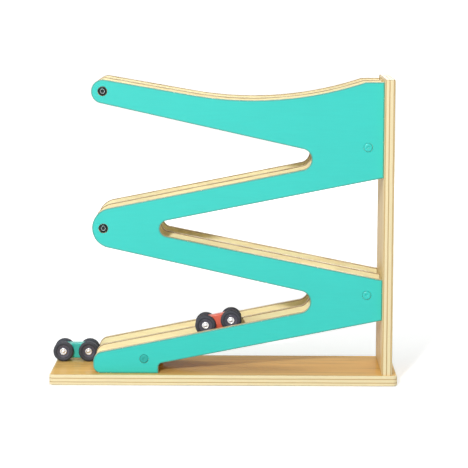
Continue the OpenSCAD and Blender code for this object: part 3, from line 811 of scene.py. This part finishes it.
def ramp_profile(floor, cut, tip):
    """Side view of a ramp strip, anticlockwise: a slanted bar, upright at its cut end and a
    half circle round its tip, centre + radius (cos w, sin w)."""
    slope = math.radians(floor[1])
    centre = np.array([tip, level(lowered(floor, TIP_MM), tip)])
    top, under = (cut, level(floor, cut)), (cut, level(lowered(floor, RAMP_MM), cut))
    if tip > cut:
        w = np.linspace(-math.pi / 2, math.pi / 2, 17) + slope
        ends = [top, under]
    else:
        w = np.linspace(math.pi / 2, 3 * math.pi / 2, 17) + slope
        ends = [under, top]
    arc = centre + TIP_MM * np.stack([np.cos(w), np.sin(w)], 1)
    return np.concatenate([np.array(ends), arc]) * MM


class TRACK_OT_ramps(bpy.types.Operator):
    """The eight ramp strips that the cars roll on, four in each lane"""
    bl_idname = "track.ramps"
    bl_label = "Ramps"

    def execute(self, context):
        colours = context.scene.track_colours
        for k, (floor, (cut, tip)) in enumerate(zip(FLOORS, RAMP_ENDS_MM)):
            slope = math.radians(floor[1])
            surface = veneer(f"ramp {k + 1} veneer", tint(colours.birch, 0.93),
                             tint(colours.birch, 0.74), turn=(0, slope, 0))
            height = level(lowered(floor, RAMP_MM), 0) * math.cos(slope) * MM
            end = ply_edge(f"ramp {k + 1} end plies", "Z", height, RAMP_MM * MM,
                           tint(colours.birch, 0.9), colours.glue, turn=(0, slope, 0))
            path = ramp_profile(floor, cut, tip)
            for lane, y in zip(("front", "back"), LANE_Y_MM):
                name = f"{lane}_ramp_{k + 1}"
                piece = board(name + "_skin", path, LANE_WIDTH_MM * MM,
                              upright((y + LANE_WIDTH_MM / 2) * MM), [surface, surface, end],
                              RAMP_ROLL_MM * MM, RAMP_ROLL_MM * MM)
                x = face_centres(piece)[:, 0]
                past = x > tip * MM if tip > cut else x < tip * MM
                piece.data.polygons.foreach_set("material_index", 2 * past.astype(np.int32))
                settle(piece, "track", name, "ramp_ply")
        return {"FINISHED"}


def turned(profile, place, count=64):
    """Points and quads of a profile (radius, depth) turned round its axis: points
    (radius cos w, depth, radius sin w), moved by place. A third column draws a row towards
    a hexagon of that inner radius: the radius grows by 1 / cos of the angle from a flat."""
    profile = np.asarray(profile, float)
    w = np.linspace(0, 2 * math.pi, count, endpoint=False)
    r, d = profile[:, 0][:, None], profile[:, 1][:, None]
    if profile.shape[1] > 2:
        flat = np.mod(w + math.pi / 6, math.pi / 3) - math.pi / 6
        r = r * (1 + profile[:, 2][:, None] * (1 / np.cos(flat) - 1))
    co = np.stack([r * np.cos(w), d + 0 * w, r * np.sin(w)], -1).reshape(-1, 3)
    return place(co), grid_faces(len(profile), count)


def turned_set(name, parts, material):
    """One piece of several turned solids, each given as its points and quads."""
    co, faces, first = [], [], 0
    for points, quads in parts:
        co.append(points)
        faces += list(quads + first)
        first += len(points)
    piece = new_piece(name, np.concatenate(co), faces, None, [material])
    merge(piece)
    piece.data.set_sharp_from_angle(angle=math.radians(40))
    return piece


def along_y(x, y, z, inwards=1):
    """Stands a turned solid's axis along Y from a point; depth grows towards +Y, or towards
    -Y where inwards is -1."""
    return lambda p: np.column_stack([x + p[:, 0], y + inwards * p[:, 1], z + p[:, 2]])


class TRACK_OT_nose_spacers(bpy.types.Operator):
    """Turned wooden spacers round the nose bolts, one in each lane"""
    bl_idname = "track.nose_spacers"
    bl_label = "Nose spacers"

    def execute(self, context):
        colours = context.scene.track_colours
        wood = veneer("turned beech", tint(colours.birch, 0.84), tint(colours.birch, 0.62),
                      turn=(0, 0, math.pi / 2))
        r, w = SPACER_MM, LANE_WIDTH_MM
        profile = np.array([(0, 0), (r - 0.5, 0), (r - 0.15, 0.15), (r, 0.5), (r, w - 0.5),
                            (r - 0.15, w - 0.15), (r - 0.5, w), (0, w)]) * MM
        for name, (x, z) in zip(("upper", "lower"), NOSE_BOLTS_MM):
            parts = [turned(profile, along_y(x * MM, (y - LANE_WIDTH_MM / 2) * MM, z * MM))
                     for y in LANE_Y_MM]
            piece = turned_set(f"{name}_nose_spacer_pair", parts, wood)
            settle(piece, "track", f"{name}_nose_spacers", "beech")
        return {"FINISHED"}


def socket_head():
    """Profile of a nose bolt as (radius, depth, hexagon share): a flat flange, a low dome
    with a chamfered hexagon socket, and the shank behind."""
    dome = np.linspace(0, math.pi / 2, 8)
    return np.concatenate([
        [(0, 1.7, 0), (2.0, 1.7, 1), (2.05, 0.25, 1), (2.45, 0.02, 0.3)],
        np.column_stack([2.5 + 1.7 * np.sin(dome), 0.6 - 0.6 * np.cos(dome), 0 * dome]),
        [(4.3, 0.75, 0), (4.85, 0.8, 0), (4.95, 0.82, 0), (5.2, 1.0, 0), (5.2, 2.2, 0),
         (3, 2.2, 0), (3, 95.8, 0), (0, 95.8, 0)]]) * (MM, MM, 1)


class TRACK_OT_fasteners(bpy.types.Operator):
    """Bolts, nuts and screws in blackened and plated steel"""
    bl_idname = "track.fasteners"
    bl_label = "Bolts and nuts"

    def execute(self, context):
        colours = context.scene.track_colours
        black = steel("blackened steel", colours.blackened, 0.24, metallic=0.9)
        # Brighter steel for the socket's chamfer and a thin ring at the flange's edge: worn edges
        # and painted highlight where light catches the head.
        bright = steel("worn bright steel with painted highlight", (0.66, 0.70, 0.70), 0.26)
        plated = steel("plated steel", (0.55, 0.56, 0.57), 0.32)
        dress("nose_cap_nuts", black)
        for name, (x, z) in zip(("upper", "lower"), NOSE_BOLTS_MM):
            parts = [turned(socket_head(), along_y(x * MM, -TRACK_HALF_MM * MM, z * MM), 72)]
            piece = turned_set(f"{name}_nose_bolt_turned", parts, black)
            # Painted highlight rings on the head, partly worn edges, in the brighter steel.
            recolour_rings(piece, bright, (x * MM, z * MM), ((1.9 * MM, 2.5 * MM), (4.9 * MM, 5.3 * MM)))
            settle(piece, "track", f"{name}_nose_bolt", "black_steel")
        for name in ("post_bolts", "post_barrel_nuts", "foot_bolts", "foot_barrel_nuts",
                     "post_screws"):
            dress(name, plated)
        return {"FINISHED"}


class TRACK_OT_plugs(bpy.types.Operator):
    """Round caps over the outer panels' barrel nuts"""
    bl_idname = "track.plugs"
    bl_label = "Caps"

    def execute(self, context):
        colours = context.scene.track_colours
        plastic = moulded("cap plastic", tint(colours.teal, 0.96), 0.30, coat=0.15)
        # Painted shade: the foot's cap is a darker, matt copy of the cap plastic.
        shaded_foot_plastic = moulded("foot cap plastic in painted shade", tint(colours.teal, 0.68), 0.62)
        roll = np.linspace(0, math.pi / 2, 6)
        profile = np.concatenate([
            [(0, 0.8), (1.2, 0.8), (1.45, 0.7), (1.5, 0.5)],
            np.column_stack([1.8 - 0.3 * np.cos(roll), 0.3 - 0.3 * np.sin(roll)]),
            np.column_stack([3.2 + 1.8 * np.sin(roll), 1.0 - 1.0 * np.cos(roll)]),
            [(5, 1.6), (0, 1.6)]]) * MM
        face = (TRACK_HALF_MM + PLUG_PROUD_MM) * MM
        foot = BARREL_NUTS_MM[2]
        for name, inwards in (("front_plugs", 1), ("back_plugs", -1)):
            parts = [turned(profile, along_y(x * MM, -inwards * face, z * MM, inwards), 48)
                     for x, z in BARREL_NUTS_MM]
            piece = turned_set(name + "_caps", parts, plastic)
            # The foot's cap takes the painted-shade copy of the plastic.
            recolour_rings(piece, shaded_foot_plastic, (foot[0] * MM, foot[1] * MM), ((-1, 6 * MM),))
            settle(piece, "track", name, "teal_plastic")
        return {"FINISHED"}


# Pieces of the cars

WHEELBASE_MM = 30.0
BODY_WIDTH_MM = 11.0
BODY_RADIUS_MM = 9.0
BODY_RIM_MM = 0.6
BODY_ROLL_MM = 1.3
WHEEL_GAP_MM = 0.5
WHEEL_WIDTH_MM = 7.0
HALF_MM = BODY_WIDTH_MM / 2 + WHEEL_GAP_MM + WHEEL_WIDTH_MM
# Height of the axles square to what the wheels stand on.
AXLE_MM = 12.3
# Where the cars stand: x, y and z of the middle between the axles, and the slope in degrees.
SLOPE = ARM_4_OVER[1]
RED_X_MM = -6.0
RED_MM = (RED_X_MM, LANE_Y_MM[0],
          level(FLOORS[3], RED_X_MM) + AXLE_MM / math.cos(math.radians(SLOPE)), SLOPE)
TEAL_MM = (-175.5, 28.0, BASE_TOP_MM + AXLE_MM, 0.0)


def on_car(car, shift=0.0):
    """Moves points from a car's own frame, its origin between the axles, to where the car
    stands: a turn about Y by its slope, then a shift. shift moves them along the car."""
    x0, y0, z0, slope = car
    c, s = math.cos(math.radians(slope)), math.sin(math.radians(slope))

    def place(p):
        x, z = p[:, 0] + shift * MM, p[:, 2]
        return np.column_stack([x0 * MM + x * c - z * s, y0 * MM + p[:, 1],
                                z0 * MM + x * s + z * c])
    return place


def at_wheel(car, end, side):
    """Places a turned solid at one wheel: depth 0 is the wheel's outer face."""
    place = on_car(car, end * WHEELBASE_MM / 2)
    return lambda p: place(np.column_stack([p[:, 0], side * (HALF_MM * MM - p[:, 1]), p[:, 2]]))


def tyre_profile():
    """Closed section of a tyre: bulged side walls, shoulders 10 + 2 sin w by 2 - 2 cos w, two
    tread grooves and a raised ring on each side wall."""
    quarter = np.linspace(0, math.pi / 2, 8)
    outer = np.column_stack([10 + 2 * np.sin(quarter), 2 - 2 * np.cos(quarter)])
    outer[0] = (9.9, 0)
    inner = outer[::-1] * (1, -1) + (0, WHEEL_WIDTH_MM)
    return np.concatenate([
        [(7.55, 0.7), (7.75, 0.35), (8.1, 0.22), (8.5, 0.22), (8.7, 0.05), (9.4, 0.0)], outer,
        [(12, 2.55), (11.85, 2.7), (11.55, 2.8), (11.55, 3.0), (11.85, 3.1), (12, 3.25),
         (12, 3.75), (11.85, 3.9), (11.55, 4.0), (11.55, 4.2), (11.85, 4.3), (12, 4.45)],
        inner, [(9.0, 7.0), (8.0, 6.8), (7.55, 6.6), (7.55, 0.7)]]) * MM


def rim_profile():
    """Closed section of a rim: a rounded bead at the tyre and a dished face down to the hub."""
    return np.array([
        (1.55, 2.0), (4.9, 2.0), (5.15, 1.85), (5.3, 1.6), (6.2, 1.2), (6.5, 0.95), (6.75, 0.62),
        (7.0, 0.5), (7.25, 0.52), (7.42, 0.62), (7.5, 0.8), (7.5, 6.5), (7.3, 6.8), (6.9, 7.0),
        (1.55, 7.0), (1.55, 2.0)]) * MM


def cap_profile():
    """Hub cap: a domed middle, radius 1.9 sin w and depth 1.1 - 0.8 cos w, a groove round it
    and a rounded outer ring with a short skirt."""
    w = np.linspace(0, math.pi / 2, 8)
    v = np.linspace(-math.pi / 2, math.pi / 2, 9)
    dome = np.column_stack([1.9 * np.sin(w), 1.1 - 0.8 * np.cos(w)])
    ring = np.column_stack([3.35 + 0.85 * np.sin(v), 1.5 - 0.9 * np.cos(v)])
    return np.concatenate([dome, [(2.1, 1.5), (2.3, 1.6)], ring, [(4.2, 2.0), (0, 2.0)]]) * MM


class TRACK_OT_car_bodies(bpy.types.Operator):
    """The two painted wooden car bodies, round at both ends"""
    bl_idname = "track.car_bodies"
    bl_label = "Car bodies"

    def execute(self, context):
        colours, birch = context.scene.track_cars, context.scene.track_colours.birch
        half, r = WHEELBASE_MM / 2, BODY_RADIUS_MM
        w = np.linspace(-math.pi / 2, math.pi / 2, 33)
        right = np.column_stack([half + r * np.cos(w), r * np.sin(w)])
        path = np.concatenate([right, -right]) * MM
        for name, car, colour in (("red_car", RED_MM, colours.red),
                                  ("teal_car", TEAL_MM, colours.teal)):
            paint = sprayed_paint(name.replace("_", " ") + " paint", colour, birch, worn_at=1.5)
            place = on_car(car)
            stand = upright(BODY_WIDTH_MM / 2 * MM)
            piece = board(name + "_shell", path, BODY_WIDTH_MM * MM, lambda p: place(stand(p)),
                          [paint] * 3, BODY_RIM_MM * MM, BODY_ROLL_MM * MM)
            settle(piece, name, name + "_body", name.split("_")[0] + "_paint")
        return {"FINISHED"}


class TRACK_OT_car_wheels(bpy.types.Operator):
    """Axles, rims, tyres and hub caps of the two cars"""
    bl_idname = "track.car_wheels"
    bl_label = "Car wheels"

    def execute(self, context):
        colours = context.scene.track_cars
        rubber = moulded("tyre rubber", colours.tyre, 0.58)
        plastic = moulded("rim plastic", colours.rim, 0.42)
        bright = steel("bright cap", (0.86, 0.86, 0.88), 0.20)
        rod = steel("axle steel", (0.60, 0.61, 0.62), 0.25)
        kinds = (("rims", rim_profile(), plastic, "rim_plastic"),
                 ("tyres", tyre_profile(), rubber, "tyre_rubber"),
                 ("caps", cap_profile(), bright, "bright_cap"))
        for name, car in (("red_car", RED_MM), ("teal_car", TEAL_MM)):
            for side, end in (("left", -1), ("right", 1)):
                dress(f"{name}_{side}_axle", rod)
                for kind, profile, material, slot in kinds:
                    parts = [turned(profile, at_wheel(car, end, s)) for s in (-1, 1)]
                    piece = turned_set(f"{name}_{side}_{kind}_pair", parts, material)
                    settle(piece, f"{name}_{side}_wheels", f"{name}_{side}_{kind}", slot)
        return {"FINISHED"}


# Floor, lamps and camera

# The floor lies this far under the toy. It is brightest from this far away, in metres.
FLOOR_DROP_MM = 0.4
FLOOR_REACH = 4.0
TOY_MIDDLE = Vector((0, 0, 0.17))
# The camera's place and its turn in radians, matched to the photo.
CAMERA_PLACE = (0.03584, -2.25, 0.47056)
CAMERA_TURN = (math.pi / 2 - 0.1338, -0.0019, 0.011)


class TRACK_OT_stage(bpy.types.Operator):
    """Pale floor, soft studio light and the camera"""
    bl_idname = "track.stage"
    bl_label = "Studio"

    def execute(self, context):
        studio, scene = context.scene.track_studio, context.scene
        corners = [(-30, -30), (30, -30), (30, 60), (-30, 60)]
        floor = new_piece("floor", [(x, y, -FLOOR_DROP_MM * MM) for x, y in corners],
                          [(0, 1, 2, 3)], None, [self.floor_paint()])
        self.world(studio)
        self.lamp("key lamp", (-0.542, -2.708, 1.334), 0.20, studio.key_power)
        self.lamp("top lamp", (-0.1, -0.5, 1.95), 1.2, studio.top_power)
        self.lamp("side lamp", (-2.2, -0.9, 0.75), 1.1, studio.side_power)
        self.lamp("back lamp", (0.5, 2.2, 1.6), 1.0, studio.back_power)
        lens = bpy.data.cameras.new("camera")
        lens.sensor_width, lens.lens = 36, studio.lens
        lens.clip_start, lens.clip_end = 0.05, 100
        camera = bpy.data.objects.new("camera", lens)
        camera.location, camera.rotation_euler = CAMERA_PLACE, CAMERA_TURN
        scene.collection.objects.link(camera)
        scene.camera = camera
        scene.view_settings.view_transform = "Standard"
        return {"FINISHED"}

    def lamp(self, name, location, size, power):
        """Round area lamp that faces the middle of the toy."""
        light = bpy.data.lights.new(name, "AREA")
        light.shape, light.size, light.energy = "DISK", size, power
        thing = bpy.data.objects.new(name, light)
        thing.location = location
        aim = TOY_MIDDLE - thing.location
        thing.rotation_euler = aim.to_track_quat("-Z", "Y").to_euler()
        bpy.context.scene.collection.objects.link(thing)

    def floor_paint(self):
        """Matt white floor that a camera, a mirror or a glass sees a little brighter, the
        more so the farther it is from the toy."""
        n = Nodes("pale floor")
        where = n.position()
        distance = n.add("ShaderNodeVectorMath", operation="LENGTH")
        n.link(where, distance.inputs[0])
        away = n.math("DIVIDE", distance.outputs["Value"], FLOOR_REACH)
        shine = n.ramp(away, [(0.0, 0.36), (0.125, 0.40), (0.25, 0.50), (0.5, 0.66), (1.0, 0.80)])
        speckle = n.noise(where, 60, 3)
        n.set(Base_Color=n.ramp(speckle, [(0.3, 0.90), (0.7, 0.93)]), Roughness=0.9,
              Emission_Color=(1, 1, 1), Emission_Strength=n.math("MULTIPLY", n.seen(), shine))
        return n.owner

    def world(self, studio):
        """White where it is seen, and an even grey light on everything else."""
        n = Nodes("studio", "worlds", "Background")
        n.set(Color=(1, 1, 1), Strength=n.math("MULTIPLY_ADD", n.seen(), 1 - studio.fill,
                                               studio.fill))
        bpy.context.scene.world = n.owner


# Panel and run

OPERATORS = (TRACK_OT_base_board, TRACK_OT_end_post, TRACK_OT_zigzag_panels, TRACK_OT_ramps,
             TRACK_OT_nose_spacers, TRACK_OT_fasteners, TRACK_OT_plugs, TRACK_OT_car_bodies,
             TRACK_OT_car_wheels, TRACK_OT_stage)


class TRACK_PT_panel(bpy.types.Panel):
    """Lists the track's pieces and their settings"""
    bl_idname = "TRACK_PT_panel"
    bl_label = "Click clack track"
    bl_space_type = "VIEW_3D"
    bl_region_type = "UI"
    bl_category = "Track"

    def draw(self, context):
        """A button for each piece, then a box for each group of settings."""
        for operator in OPERATORS:
            self.layout.operator(operator.bl_idname)
        for group in (context.scene.track_sizes, context.scene.track_colours,
                      context.scene.track_cars, context.scene.track_studio):
            box = self.layout.box()
            for key in group.bl_rna.properties.keys():
                if key not in ("rna_type", "name"):
                    box.prop(group, key)


GROUPS = (("track_sizes", TrackSizes), ("track_colours", TrackColours),
          ("track_cars", CarColours), ("track_studio", StudioSettings))
CLASSES = tuple(group for _, group in GROUPS) + OPERATORS + (TRACK_PT_panel,)


def register():
    """Registers the classes and hangs the settings on the scene."""
    for cls in CLASSES:
        bpy.utils.register_class(cls)
    for key, group in GROUPS:
        setattr(bpy.types.Scene, key, bpy.props.PointerProperty(type=group))


def unregister():
    """Takes away what register adds."""
    for key, _ in GROUPS:
        delattr(bpy.types.Scene, key)
    for cls in reversed(CLASSES):
        bpy.utils.unregister_class(cls)


def main():
    """Builds the whole scene."""
    register()
    for step in (bpy.ops.track.stage, bpy.ops.track.base_board, bpy.ops.track.end_post,
                 bpy.ops.track.zigzag_panels, bpy.ops.track.ramps, bpy.ops.track.nose_spacers,
                 bpy.ops.track.fasteners, bpy.ops.track.plugs, bpy.ops.track.car_bodies,
                 bpy.ops.track.car_wheels):
        step()
    bpy.context.view_layer.update()


if __name__ == "__main__":
    main()
